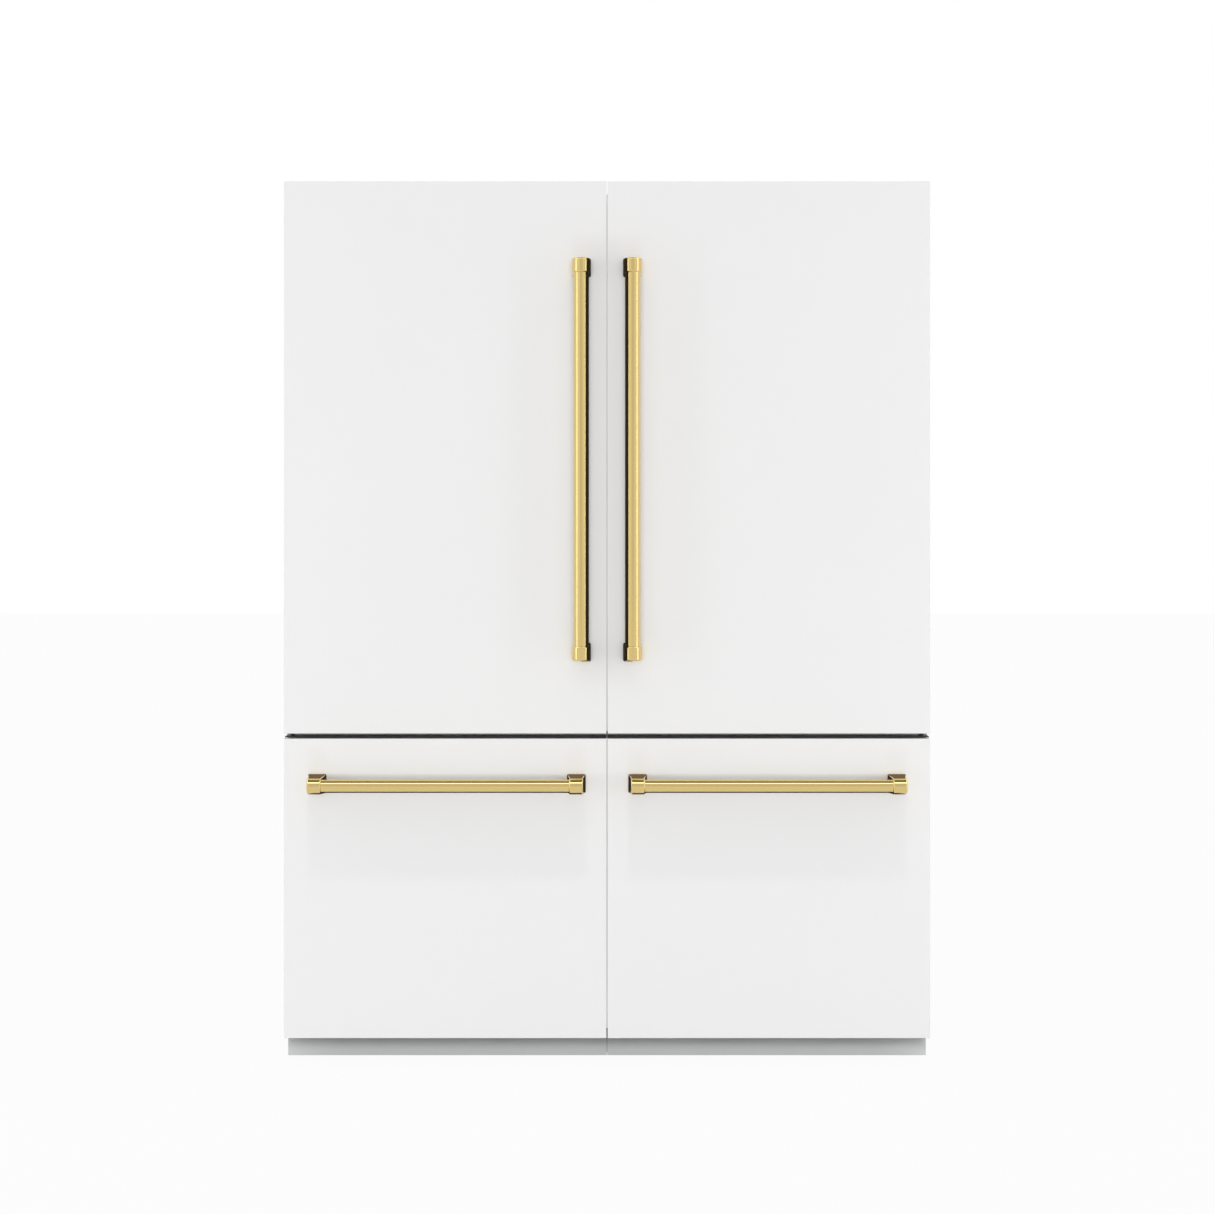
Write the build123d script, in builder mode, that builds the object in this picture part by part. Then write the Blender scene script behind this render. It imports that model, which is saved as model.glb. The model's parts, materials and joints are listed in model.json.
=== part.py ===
"""Twin built-in french door refrigerator: two mirrored bottom-freezer units joined side by side.

Millimetres. X runs to the viewer's right, the doors face -Y and +Z is up. The origin is on the
floor, in the middle of the footprint. Only the right-hand unit is drawn, and the left-hand unit
is its mirror image in the plane of the seam.
"""
from math import cos, radians, sin
import os

from build123d import *

os.makedirs("parts", exist_ok=True)

# Driving dimensions of one unit
unit_width = 755.5
seam = 3.0
panel_face = -266.0
case_back = 344.0
panel_thick = 20.0
core_thick = 55.0
gasket_thick = 12.0
soft_gap = 0.3
plinth_height = 58.0
drawer_height = 702.0
panel_gap = 12.0
door_height = 1294.0
wall = 45.0
sheet = 1.5
liner_thick = 2.5
board_joint = 0.5

# Planes across the unit
inner_x = seam / 2
outer_x = inner_x + unit_width
middle_x = (inner_x + outer_x) / 2
cavity_x = (inner_x + wall, outer_x - wall)
cavity_width = cavity_x[1] - cavity_x[0]
MIDDLE = Plane.YZ.offset(middle_x)

# Planes from front to back
panel_back = panel_face + panel_thick
core_back = panel_back + core_thick
case_front = core_back + gasket_thick
lid_back = core_back + 20
cavity_back = 296.5
step_front = 62.5
machine_front = 110.0

# Levels from the floor up
drawer_z = (plinth_height, plinth_height + drawer_height)
door_z = (drawer_z[1] + panel_gap, drawer_z[1] + panel_gap + door_height)
case_z = (60.0, 2052.0)
freezer_z = (112.0, 728.0)
fridge_z = (806.0, 1998.0)
machine_top = 320.0
step_floor = 365.0

# Door hinge: an upright pin near the outer front corner
pivot_x = outer_x - 16
pivot_y = panel_face + 32
pin_radius = 5.0
pin_depth = 25.0
pin_play = 0.05

# Shelves
shelf_levels = (1290.0, 1530.0, 1770.0)
crisper_cover_level = 1030.0
shelf_thick = 14.0
shelf_y = (-60.0, 270.0)

# Handles
handle_standoff = 56.5
door_bar_radius = 18.0
drawer_bar_radius = 15.75
door_handle_middle = (60.0, 1413.0)
door_handle_length = 944.0
drawer_handle_middle = (375.5, 655.0)
drawer_handle_length = 651.5


def block(x, y, z, mode=Mode.ADD):
    """A box in the part being built, given by its low and high edge along each axis."""
    with Locations(((x[0] + x[1]) / 2, (y[0] + y[1]) / 2, (z[0] + z[1]) / 2)):
        Box(x[1] - x[0], y[1] - y[0], z[1] - z[0], mode=mode)


def rounded_block(x, y, z, corner, mode=Mode.ADD):
    """A box in the part being built, with its upright edges rounded."""
    with BuildSketch(Plane.XY.offset(z[0])) as outline:
        with Locations((sum(x) / 2, sum(y) / 2)):
            RectangleRounded(x[1] - x[0], y[1] - y[0], corner)
    extrude(outline.sketch, amount=z[1] - z[0], mode=mode)


def grown(span, amount):
    """A low and high edge, each moved outwards by the same amount."""
    return (span[0] - amount, span[1] + amount)


def write(part, name):
    part.label = name
    export_step(part, f"parts/{name}.step")


def write_pair(part, name):
    """The right-hand unit's piece and its mirror image, as two nodes."""
    write(part, f"{name}_right")
    with BuildPart() as twin:
        mirror(part, about=Plane.YZ)
    write(twin.part, f"{name}_left")


def write_both(part, name):
    """The right-hand unit's pieces and their mirror images, as one node."""
    with BuildPart() as both:
        add(part)
        mirror(part, about=Plane.YZ)
    write(both.part, name)


# ---- Cabinet ----

# Sheet steel case, folded inwards at the front round the two compartments
board_x = grown((inner_x, outer_x), -sheet)
core_x = grown(cavity_x, liner_thick)
machine_z = (case_z[0] + sheet, machine_top)

with BuildPart() as outer_case:
    block((inner_x, outer_x), (case_front, case_back), case_z)
    block(board_x, (case_front + sheet, case_back - sheet), grown(case_z, -sheet), Mode.SUBTRACT)
    block(cavity_x, (case_front, case_front + sheet), fridge_z, Mode.SUBTRACT)
    block(cavity_x, (case_front, case_front + sheet), freezer_z, Mode.SUBTRACT)
    block(core_x, (case_back - sheet, case_back), machine_z, Mode.SUBTRACT)
write_both(outer_case.part, "outer_cases")

# Insulation boards between the case and the liners
between_x = grown(core_x, -board_joint)
foam_y = (case_front + sheet, case_back - sheet)
foam_back = cavity_back + liner_thick

with BuildPart() as insulation:
    block((board_x[0], core_x[0]), foam_y, grown(case_z, -sheet))
    block((core_x[1], board_x[1]), foam_y, grown(case_z, -sheet))
    block(between_x, foam_y, (fridge_z[1] + liner_thick, case_z[1] - sheet))
    block(
        between_x,
        (foam_back, foam_y[1]),
        (machine_top + board_joint, fridge_z[1] + liner_thick - board_joint),
    )
    block(
        between_x,
        (foam_y[0], foam_back - board_joint),
        (freezer_z[1] + liner_thick, fridge_z[0] - liner_thick),
    )
    block(
        between_x,
        (foam_y[0], step_front + liner_thick - board_joint),
        (case_z[0] + sheet, freezer_z[0] - liner_thick),
    )
    block(
        between_x,
        (step_front + liner_thick, machine_front),
        (case_z[0] + sheet, step_floor - liner_thick),
    )
    block(
        between_x,
        (machine_front + board_joint, foam_back - board_joint),
        (machine_top, step_floor - liner_thick),
    )
write_both(insulation.part, "insulation_boards")

# Moulded liner of the fresh food compartment, with a ledge under each end of every shelf
ledge = 10.0
ledge_y = (shelf_y[0] + 5, shelf_y[1] - 8)

with BuildPart() as fridge_liner:
    block(core_x, (case_front + sheet, foam_back), grown(fridge_z, liner_thick))
    block(cavity_x, (case_front + sheet, cavity_back), fridge_z, Mode.SUBTRACT)
    for level in (crisper_cover_level, *shelf_levels):
        low = level - shelf_thick
        block((cavity_x[0], cavity_x[0] + ledge), ledge_y, (low - ledge, low))
        block((cavity_x[1] - ledge, cavity_x[1]), ledge_y, (low - ledge, low))
write_both(fridge_liner.part, "fridge_liners")

# Freezer liner, stepped over the machine compartment
with BuildPart() as freezer_liner:
    front_y = (case_front + sheet, step_front)
    rear_y = (case_front + sheet, cavity_back)
    upper_z = (step_floor, freezer_z[1])
    block(core_x, (front_y[0], step_front + liner_thick), grown(freezer_z, liner_thick))
    block(core_x, (rear_y[0], foam_back), grown(upper_z, liner_thick))
    block(cavity_x, front_y, freezer_z, Mode.SUBTRACT)
    block(cavity_x, rear_y, upper_z, Mode.SUBTRACT)
write_both(freezer_liner.part, "freezer_liners")

# Base frame: four rails under the case, with clearance holes for the levelling stems, and a
# plate that carries the compressor
base_z = (12.0, case_z[0])
rail_width = 30.0
side_rail_x = (inner_x + 4, inner_x + 4 + rail_width)
cross_rail_x = (side_rail_x[1] + board_joint, 2 * middle_x - side_rail_x[1] - board_joint)
base_y = (case_front + 4, case_back - 4)
stem_x = sum(side_rail_x) / 2
stem_spots = [(x, y) for x in (stem_x, 2 * middle_x - stem_x) for y in (-140, 300)]
stem_radius = 5.0

with BuildPart() as base_frame:
    block(side_rail_x, base_y, base_z)
    mirror(about=MIDDLE)
    block(cross_rail_x, (base_y[0], base_y[0] + rail_width), base_z)
    block(cross_rail_x, (base_y[1] - rail_width, base_y[1]), base_z)
    block(cross_rail_x, (machine_front, base_y[1] - rail_width - board_joint), (56, base_z[1]))
    with Locations([(x, y, base_z[0]) for x, y in stem_spots]):
        Cylinder(
            stem_radius + 0.25,
            40,
            align=(Align.CENTER, Align.CENTER, Align.MIN),
            mode=Mode.SUBTRACT,
        )
write_both(base_frame.part, "base_frames")

# Levelling feet: a pad, a hexagon to turn it by, and a stem up into the rail
with BuildPart() as feet:
    with BuildSketch(Plane.XY):
        with Locations(stem_spots):
            Circle(19)
    extrude(amount=6)
    chamfer(feet.edges().group_by(Axis.Z)[-1], 2)
    with BuildSketch(Plane.XY.offset(6)):
        with Locations(stem_spots):
            RegularPolygon(9, 6)
    extrude(amount=5)
    with BuildSketch(Plane.XY.offset(11)):
        with Locations(stem_spots):
            Circle(stem_radius)
    extrude(amount=38)
write_both(feet.part, "levelling_feet")

# Toe-kick: a plate set back under the drawer front, with its top edge folded to the rear
toe_y = panel_face + 75
toe_x = (0.4, outer_x)
with BuildPart() as toe_kick:
    block(toe_x, (toe_y, toe_y + 2), (2, 64))
    block(toe_x, (toe_y + 2, toe_y + 11.5), (62, 64))
    chamfer(toe_kick.edges().filter_by(Axis.X).group_by(Axis.Y)[0], 0.6)
write_both(toe_kick.part, "toe_kicks")

# Mid rail across the gap between the door and the drawer
mid_rail_y = (panel_face + 55, case_front)
mid_rail_z = (drawer_z[1] - 3, door_z[0] - 1)
with BuildPart() as mid_rail:
    block((inner_x + 0.5, outer_x - 0.5), mid_rail_y, mid_rail_z)
    chamfer(mid_rail.edges().filter_by(Axis.X).group_by(Axis.Y)[0], 1)
write_both(mid_rail.part, "mid_rails")

# Hinge brackets: an arm on the case top and a plate in front of the mid rail, each with its pin
arm_z = (case_z[1], case_z[1] + 5)
arm_end_radius = 10.5
plate_z = (drawer_z[1] + 1.5, drawer_z[1] + 4.5)
core_z = (door_z[0] + 6, case_z[1] - 3)

with BuildPart() as hinge_brackets:
    with BuildSketch(Plane.XY.offset(arm_z[0])):
        with Locations((pivot_x - 16, (pivot_y + 8 - 60) / 2)):
            RectangleRounded(40, abs(pivot_y + 8 + 60), 4)
        with Locations((pivot_x, pivot_y)):
            Circle(arm_end_radius)
    extrude(amount=arm_z[1] - arm_z[0])
    with BuildSketch(Plane.XY.offset(arm_z[0])):
        with Locations((pivot_x, pivot_y)):
            Circle(pin_radius)
    extrude(amount=-(arm_z[0] - core_z[1] + pin_depth))
    block((inner_x + 0.5, outer_x - 0.5), (panel_back - 4, mid_rail_y[0]), plate_z)
    with BuildSketch(Plane.XY.offset(plate_z[1])):
        with Locations((pivot_x, pivot_y)):
            Circle(pin_radius)
    extrude(amount=core_z[0] + pin_depth - plate_z[1])
    with BuildSketch(Plane.XY.offset(arm_z[1])):
        with Locations([(pivot_x - 26, y) for y in (-150, -115, -80)]):
            RegularPolygon(6, 6)
    extrude(amount=4)
write_both(hinge_brackets.part, "hinge_brackets")

# Shelves: a pane of glass in a moulded rim
shelf_x = grown(cavity_x, -1.5)
pane_x = grown(shelf_x, -12)
pane_y = (shelf_y[0] + 16, shelf_y[1] - 16)
pane_thick = 4.0
rim_tops = (crisper_cover_level, *shelf_levels)

with BuildPart() as shelf_glass:
    for level in rim_tops:
        block(grown(pane_x, 6), grown(pane_y, 8), (level - 2 - pane_thick, level - 2))
write_both(shelf_glass.part, "shelf_glass")

with BuildPart() as shelf_frames:
    for level in rim_tops:
        block(shelf_x, shelf_y, (level - shelf_thick, level))
    fillet(shelf_frames.edges().filter_by(Axis.X).group_by(Axis.Y)[0], 4)
    for level in rim_tops:
        block(pane_x, pane_y, (level - shelf_thick, level), Mode.SUBTRACT)
        block(
            grown(pane_x, 6),
            grown(pane_y, 8),
            (level - 2 - pane_thick, level - 2),
            Mode.SUBTRACT,
        )
write_both(shelf_frames.part, "shelf_frames")

# Air duct up the rear wall of the fresh food compartment, and the freezer's evaporator cover
duct_y = (275.0, cavity_back)
cover_y = (228.0, 232.0)
cover_z = (372.0, 722.0)
fan_z = 655.0

with BuildPart() as duct_covers:
    block(grown((middle_x, middle_x), 90), duct_y, (840, 1960))
    fillet(duct_covers.edges().filter_by(Axis.Z).group_by(Axis.Y)[0], 8)
    for level in (1100, 1190, 1380, 1440, 1620, 1680, 1850, 1900):
        block(grown((middle_x, middle_x), 55), (duct_y[0], duct_y[0] + 8), (level, level + 8),
              Mode.SUBTRACT)
    block((cavity_x[0] + 24, cavity_x[1] - 24), cover_y, cover_z)
    with BuildSketch(Plane.XZ.offset(-cover_y[0])):
        with Locations([(middle_x, fan_z + step) for step in (-36, -24, -12, 0, 12, 24, 36)]):
            SlotOverall(120, 6)
        with Locations([(middle_x, level) for level in (392, 408, 424)]):
            SlotOverall(480, 7)
    extrude(amount=-(cover_y[1] - cover_y[0]), mode=Mode.SUBTRACT)
write_both(duct_covers.part, "duct_covers")

# Light strips up both sides of the fresh food compartment
with BuildPart() as led_strips:
    block((cavity_x[0], cavity_x[0] + 3), (-152, -138), (860, 1940))
    fillet(led_strips.edges().filter_by(Axis.Z).group_by(Axis.X)[-1], 1.2)
    mirror(about=MIDDLE)
write_both(led_strips.part, "led_strips")

# ---- Cooling system ----

# Evaporator: tube rows through upright fins, behind the freezer cover
coil_y = (242.0, 290.0)
coil_x = (middle_x - 230, middle_x + 230)
coil_z = (385.0, 545.0)
fin_pitch = 11.5

with BuildPart() as evaporator:
    with BuildSketch(Plane.YZ.offset(coil_x[0])):
        for tube_y in (254, 278):
            with Locations([(tube_y, coil_z[0] + 20 + 40 * row) for row in range(4)]):
                Circle(4)
    extrude(amount=coil_x[1] - coil_x[0])
    for fin in range(int((coil_x[1] - coil_x[0]) / fin_pitch) + 1):
        at = coil_x[0] + 0.5 + fin * fin_pitch
        block((at, at + 0.8), coil_y, coil_z)
    block((coil_x[0] - 1, coil_x[0] + 0.5), coil_y, coil_z)
    block((coil_x[1] - 0.5, coil_x[1] + 1), coil_y, coil_z)
write_both(evaporator.part, "evaporators")

# Condenser in the machine compartment, with the same construction, standing crosswise
condenser_x = (110.0, 158.0)
condenser_y = (130.0, 320.0)
condenser_z = (70.0, 290.0)

with BuildPart() as condenser:
    with BuildSketch(Plane.XZ.offset(-condenser_y[0])):
        for tube_x in (122, 146):
            with Locations([(tube_x, condenser_z[0] + 27 + 55 * row) for row in range(4)]):
                Circle(4)
    extrude(amount=-(condenser_y[1] - condenser_y[0]))
    for fin in range(17):
        at = condenser_y[0] + 1 + fin * fin_pitch
        block(condenser_x, (at, at + 0.8), condenser_z)
    block(condenser_x, (condenser_y[0] - 2, condenser_y[0]), (machine_z[0], condenser_z[1]))
    block(condenser_x, (condenser_y[1], condenser_y[1] + 2), (machine_z[0], condenser_z[1]))
write_both(condenser.part, "condensers")

# Compressor: a welded steel can on three rubber mounts, with its three pipe stubs
can_x = 520.0
can_y = 225.0
can_radius = 85.0
can_z = (machine_z[0] + 18, machine_z[0] + 213)

with BuildPart() as compressor:
    with BuildSketch(Plane(origin=(can_x, can_y, 0), x_dir=(1, 0, 0), z_dir=(0, -1, 0))):
        with Locations((can_radius / 2, sum(can_z) / 2)):
            Rectangle(can_radius, can_z[1] - can_z[0])
        with Locations((can_radius / 2, can_z[0] + 110)):
            Rectangle(can_radius + 6, 8)
    revolve(axis=Axis((can_x, can_y, 0), (0, 0, 1)))
    fillet(compressor.edges().group_by(Axis.Z)[-1], 38)
    fillet(compressor.edges().group_by(Axis.Z)[0], 22)
    with BuildSketch(Plane.XY.offset(can_z[0] - 6)):
        with Locations((can_x, can_y)):
            Rectangle(180, 120)
    extrude(amount=8)
    with BuildSketch(Plane.XY.offset(machine_z[0])):
        with Locations([(can_x + x, can_y + y) for x in (-75, 75) for y in (-45, 45)]):
            Circle(12)
    extrude(amount=can_z[0] - 6 - machine_z[0])
    with BuildSketch(Plane.YZ.offset(can_x - can_radius - 25)):
        with Locations([(can_y + y, can_z[0] + 70) for y in (-25, 0, 25)]):
            Circle(4)
    extrude(amount=30)
write_both(compressor.part, "compressors")


def fan_rotor(plane, hub_radius, tip_radius, depth, shaft_play):
    """A hub and five pitched blades about the plane's normal, with a blind hole for the shaft."""
    with BuildPart() as rotor:
        with BuildSketch(plane):
            Circle(hub_radius)
        extrude(amount=depth)
        chamfer(rotor.edges().group_by(Axis(plane.origin, plane.z_dir))[-1], 2)
        for turn in range(5):
            angle = 72 * turn
            out = plane.x_dir * cos(radians(angle)) + plane.y_dir * sin(radians(angle))
            side = plane.z_dir.cross(out)
            root = Plane(
                origin=plane.origin + out * (hub_radius - 2) + plane.z_dir * depth / 2,
                x_dir=side,
                z_dir=out,
            )
            tip = root.offset(tip_radius - hub_radius + 2)
            with BuildSketch(root):
                Rectangle(hub_radius * 0.9, 2.2, rotation=38)
            with BuildSketch(tip):
                Rectangle(hub_radius * 1.8, 1.6, rotation=24)
            loft()
        with BuildSketch(plane):
            Circle(3 + shaft_play)
        extrude(amount=depth - 4, mode=Mode.SUBTRACT)
    return rotor.part


# Fans: the condenser's blows along the compartment, the evaporator's blows into the freezer
condenser_fan_hub = Vector(196, 225, 190)
evaporator_fan_hub = Vector(middle_x, 262, fan_z)
condenser_fan_plane = Plane(origin=condenser_fan_hub, x_dir=(0, 1, 0), z_dir=(-1, 0, 0))
evaporator_fan_plane = Plane(origin=evaporator_fan_hub, x_dir=(1, 0, 0), z_dir=(0, -1, 0))

write_pair(fan_rotor(condenser_fan_plane, 20, 78, 20, pin_play), "condenser_fan")
write_pair(fan_rotor(evaporator_fan_plane, 16, 50, 18, pin_play), "evaporator_fan")

# Fan motors: a can with its shaft, on a strap to the floor or to the rear liner
with BuildPart() as fan_motors:
    with BuildSketch(condenser_fan_plane.offset(-3)):
        Circle(24)
    extrude(amount=-34)
    with BuildSketch(condenser_fan_plane.offset(-3)):
        Circle(3)
    extrude(amount=17)
    block((203, 207), (213, 237), (machine_z[0], 172))
    block((199, 233), (205, 245), (machine_z[0], machine_z[0] + 3))
    with BuildSketch(evaporator_fan_plane.offset(-3)):
        Circle(18)
    extrude(amount=-(cavity_back - evaporator_fan_hub.Y - 3))
    with BuildSketch(evaporator_fan_plane.offset(-3)):
        Circle(3)
    extrude(amount=15)
    block((middle_x - 62, middle_x + 62), (cavity_back - 3, cavity_back), (fan_z - 9, fan_z + 9))
write_both(fan_motors.part, "fan_motors")

# Rear cover of the machine compartment, slotted for air, and the cord's empty gland beside it
cover_x = grown(core_x, -2)
cover_face = case_back - 3
gland_x = cover_x[1] - 55
gland_z = 110.0
gland_flange = 2.5
gland_length = 10.0

with BuildPart() as machine_cover:
    block(cover_x, (cover_face - sheet, cover_face), (machine_z[0] + 1, machine_top - 1))
    with BuildSketch(Plane.XZ.offset(-cover_face)):
        with Locations((middle_x - 60, (machine_z[0] + machine_top) / 2)):
            with GridLocations(96, 13, 5, 14):
                SlotOverall(82, 5)
        with Locations((gland_x, gland_z)):
            Circle(11)
    extrude(amount=sheet, mode=Mode.SUBTRACT)
write_both(machine_cover.part, "machine_covers")

with BuildPart() as cord_gland:
    with BuildSketch(Plane.XZ.offset(-cover_face)):
        with Locations((gland_x, gland_z)):
            Circle(15)
    extrude(amount=-gland_flange)
    with BuildSketch(Plane.XZ.offset(-cover_face)):
        with Locations((gland_x, gland_z)):
            Circle(10.8)
    extrude(amount=gland_length)
    with BuildSketch(Plane.XZ.offset(-cover_face - gland_flange)):
        with Locations((gland_x, gland_z)):
            Circle(4.5)
    extrude(amount=gland_flange + gland_length, mode=Mode.SUBTRACT)
write_both(cord_gland.part, "cord_glands")

# ---- Doors ----

# Flat slab fronts, their edges slightly eased
with BuildPart() as door_panel:
    block((inner_x, outer_x), (panel_face, panel_back), door_z)
    fillet(door_panel.faces().sort_by(Axis.Y)[0].edges(), 1.2)
write_pair(door_panel.part, "door_panel")

with BuildPart() as drawer_panel:
    block((inner_x, outer_x), (panel_face, panel_back), drawer_z)
    fillet(drawer_panel.faces().sort_by(Axis.Y)[0].edges(), 1.2)
write_pair(drawer_panel.part, "drawer_panel")

# Foamed core of the door, bored for the two hinge pins
core_side = 6.0
door_core_x = grown((inner_x, outer_x), -core_side)

with BuildPart() as door_core:
    block(door_core_x, (panel_back, core_back), core_z)
    fillet(door_core.edges().filter_by(Axis.Z).group_by(Axis.Y)[-1], 4)
    with BuildSketch(Plane.XY.offset(core_z[0])):
        with Locations((pivot_x, pivot_y)):
            Circle(pin_radius + pin_play)
    extrude(amount=pin_depth + 2, mode=Mode.SUBTRACT)
    with BuildSketch(Plane.XY.offset(core_z[1])):
        with Locations((pivot_x, pivot_y)):
            Circle(pin_radius + pin_play)
    extrude(amount=-(pin_depth + 2), mode=Mode.SUBTRACT)
write_pair(door_core.part, "door_core")

# Inner liner of the door: a raised pan with two dykes that the bins hook between
dyke_x = (74.0, 690.0)
dyke_thick = 12.0
dyke_y = (lid_back, lid_back + 31)
dyke_z = (1048.0, 1976.0)

with BuildPart() as door_liner:
    block((54, 698), (core_back, lid_back), (818, 1988))
    block((dyke_x[0], dyke_x[0] + dyke_thick), dyke_y, dyke_z)
    block((dyke_x[1] - dyke_thick, dyke_x[1]), dyke_y, dyke_z)
    fillet(door_liner.edges().filter_by(Axis.Z).group_by(Axis.Y)[-1], 4)
write_pair(door_liner.part, "door_liner")

# Door bins: clear boxes that hook between the dykes
bin_x = grown((dyke_x[0] + dyke_thick, dyke_x[1] - dyke_thick), -0.5)
bin_y = (lid_back, lid_back + 86)
bin_levels = (1060.0, 1375.0, 1690.0)
bin_height = 90.0
bin_wall = 3.0
bin_corner = 12.0

with BuildPart() as door_bins:
    for level in bin_levels:
        rounded_block(bin_x, bin_y, (level, level + bin_height), bin_corner)
        rounded_block(
            grown(bin_x, -bin_wall),
            grown(bin_y, -bin_wall),
            (level + bin_wall, level + bin_height),
            bin_corner - bin_wall,
            Mode.SUBTRACT,
        )
write_pair(door_bins.part, "door_bins")


def gasket(x, z, name):
    """A magnetic seal: a soft ring with a shallow fold round it."""
    lip = 18.0
    rear = case_front - soft_gap
    with BuildPart() as ring:
        block(x, (core_back, rear), z)
        block(grown(x, -lip), (core_back, rear), grown(z, -lip), Mode.SUBTRACT)
        block(grown(x, 1), (core_back + 5, core_back + 7), grown(z, 1), Mode.SUBTRACT)
        block(grown(x, -4), (core_back + 5, core_back + 7), grown(z, -4))
        block(grown(x, -lip), (core_back, rear), grown(z, -lip), Mode.SUBTRACT)
    write_pair(ring.part, name)


gasket((14.0, 735.0), (784.0, 2043.0), "door_gasket")
gasket((14.0, 744.0), (72.0, 746.0), "drawer_gasket")

# ---- Handles ----

base_across = 44.5
base_along = 44.0
collar_along = 33.0
collar_rim = 3.5
collar_round = 3.5
socket_wall = 5.0
tube_wall = 2.0


def handle(middle, along, length, bar_radius, name):
    """A round tube in two end posts, on the front panel.

    middle is the point of the panel under the bar's centre, along the bar's direction and
    length the handle's overall length, over the feet of its posts.
    """
    forward = Vector(0, -1, 0)
    reach = length / 2 - base_along / 2
    collar_radius = bar_radius + collar_rim
    bar_length = 2 * (reach + collar_along / 2 - socket_wall)
    axis_point = middle + forward * handle_standoff

    with BuildPart() as bar:
        with BuildSketch(Plane(origin=axis_point - along * bar_length / 2, z_dir=along)):
            Circle(bar_radius)
            Circle(bar_radius - tube_wall, mode=Mode.SUBTRACT)
        extrude(amount=bar_length)
    write_pair(bar.part, f"{name}_bar")

    with BuildPart() as posts:
        for end in (-1, 1):
            foot = Plane(origin=middle + along * reach * end, x_dir=along, z_dir=forward)
            with BuildSketch(foot):
                RectangleRounded(base_along, base_across, 4)
            with BuildSketch(foot.offset(handle_standoff)):
                RectangleRounded(collar_along, 2 * collar_radius, collar_round)
            loft()
            collar_middle = axis_point + along * reach * end
            with BuildSketch(Plane(origin=collar_middle, x_dir=along, z_dir=along.cross(forward))):
                with BuildLine():
                    Polyline(
                        (-collar_along / 2, 0),
                        (-collar_along / 2, collar_radius),
                        (collar_along / 2, collar_radius),
                        (collar_along / 2, 0),
                        close=True,
                    )
                outline = make_face()
                fillet(outline.vertices().sort_by(Axis.Y)[-2:], collar_round)
            revolve(axis=Axis(collar_middle, along))
            inward = collar_middle - along * end * base_along / 2
            with BuildSketch(Plane(origin=inward, z_dir=along * end)):
                Circle(bar_radius + pin_play)
            socket = (base_along + collar_along) / 2 - socket_wall
            extrude(amount=socket, mode=Mode.SUBTRACT)
    write_pair(posts.part, f"{name}_posts")


handle(
    Vector(door_handle_middle[0], panel_face, door_handle_middle[1]),
    Vector(0, 0, 1),
    door_handle_length,
    door_bar_radius,
    "door_handle",
)
handle(
    Vector(drawer_handle_middle[0], panel_face, drawer_handle_middle[1]),
    Vector(1, 0, 0),
    drawer_handle_length,
    drawer_bar_radius,
    "drawer_handle",
)

# ---- Freezer drawer ----

# Foamed core with its raised inner pan
with BuildPart() as drawer_core:
    block(door_core_x, (panel_back, core_back), (66, 752))
    fillet(drawer_core.edges().filter_by(Axis.Z).group_by(Axis.Y)[-1], 4)
    block((60, 2 * middle_x - 60), (core_back, lid_back), (125, 715))
write_pair(drawer_core.part, "drawer_core")

# Deep basket, stepped over the machine compartment
basket_x = (cavity_x[0] + 14, cavity_x[1] - 14)
basket_front_y = (lid_back + 3, step_front - 8)
basket_rear_y = (lid_back + 3, 218.0)
basket_low = 122.0
basket_step = 376.0
basket_rim = 604.0
basket_wall = 3.0
basket_corner = 14.0

with BuildPart() as basket:
    rounded_block(basket_x, basket_front_y, (basket_low, basket_rim), basket_corner)
    rounded_block(basket_x, basket_rear_y, (basket_step, basket_rim), basket_corner)
    rounded_block(
        grown(basket_x, -basket_wall),
        grown(basket_front_y, -basket_wall),
        (basket_low + basket_wall, basket_rim),
        basket_corner - basket_wall,
        Mode.SUBTRACT,
    )
    rounded_block(
        grown(basket_x, -basket_wall),
        grown(basket_rear_y, -basket_wall),
        (basket_step + basket_wall, basket_rim),
        basket_corner - basket_wall,
        Mode.SUBTRACT,
    )
write_pair(basket.part, "freezer_basket")

# Upper tray: slides to the rear on the basket's rim
tray_x = (basket_x[0] + 4, basket_x[1] - 4)
tray_y = (lid_back + 6, 44.0)
tray_z = (basket_rim + 0.5, basket_rim + 80)
tray_wall = 3.0
tray_corner = 14.0

with BuildPart() as tray:
    rounded_block(tray_x, tray_y, tray_z, tray_corner)
    fillet(tray.faces().sort_by(Axis.Z)[0].edges(), 5)
    rounded_block(
        grown(tray_x, -tray_wall),
        grown(tray_y, -tray_wall),
        (tray_z[0] + tray_wall, tray_z[1]),
        tray_corner - tray_wall,
        Mode.SUBTRACT,
    )
write_pair(tray.part, "freezer_tray")

# Telescopic slides: three nested channels on each side wall
slide_z = 480.0
slide_y = (case_front + 14, 222.0)


def channel(web_x, depth, half_height, thick, y):
    """A channel with an upright web, its flanges pointing away from or towards the wall."""
    low, high = sorted((web_x, web_x + depth))
    block((low, high), y, (slide_z - half_height, slide_z + half_height))
    hollow = (low + thick, high + 1) if depth > 0 else (low - 1, high - thick)
    inner = half_height - thick
    block(hollow, y, (slide_z - inner, slide_z + inner), Mode.SUBTRACT)


with BuildPart() as slides_fixed:
    channel(cavity_x[0], 12, 22.5, 1.5, slide_y)
    mirror(about=MIDDLE)
write_both(slides_fixed.part, "slide_rails_fixed")

with BuildPart() as slides_middle:
    channel(cavity_x[0] + 2.5, 9.5, 20, 1.5, (slide_y[0], slide_y[1] - 2))
    mirror(about=MIDDLE)
write_pair(slides_middle.part, "slide_rails_middle")

with BuildPart() as slides_moving:
    channel(basket_x[0], -8.5, 16, 2.5, (lid_back, slide_y[1] - 7))
    mirror(about=MIDDLE)
write_pair(slides_moving.part, "slide_rails_moving")

# ---- Crispers: two pans side by side under the lowest glass ----

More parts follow.
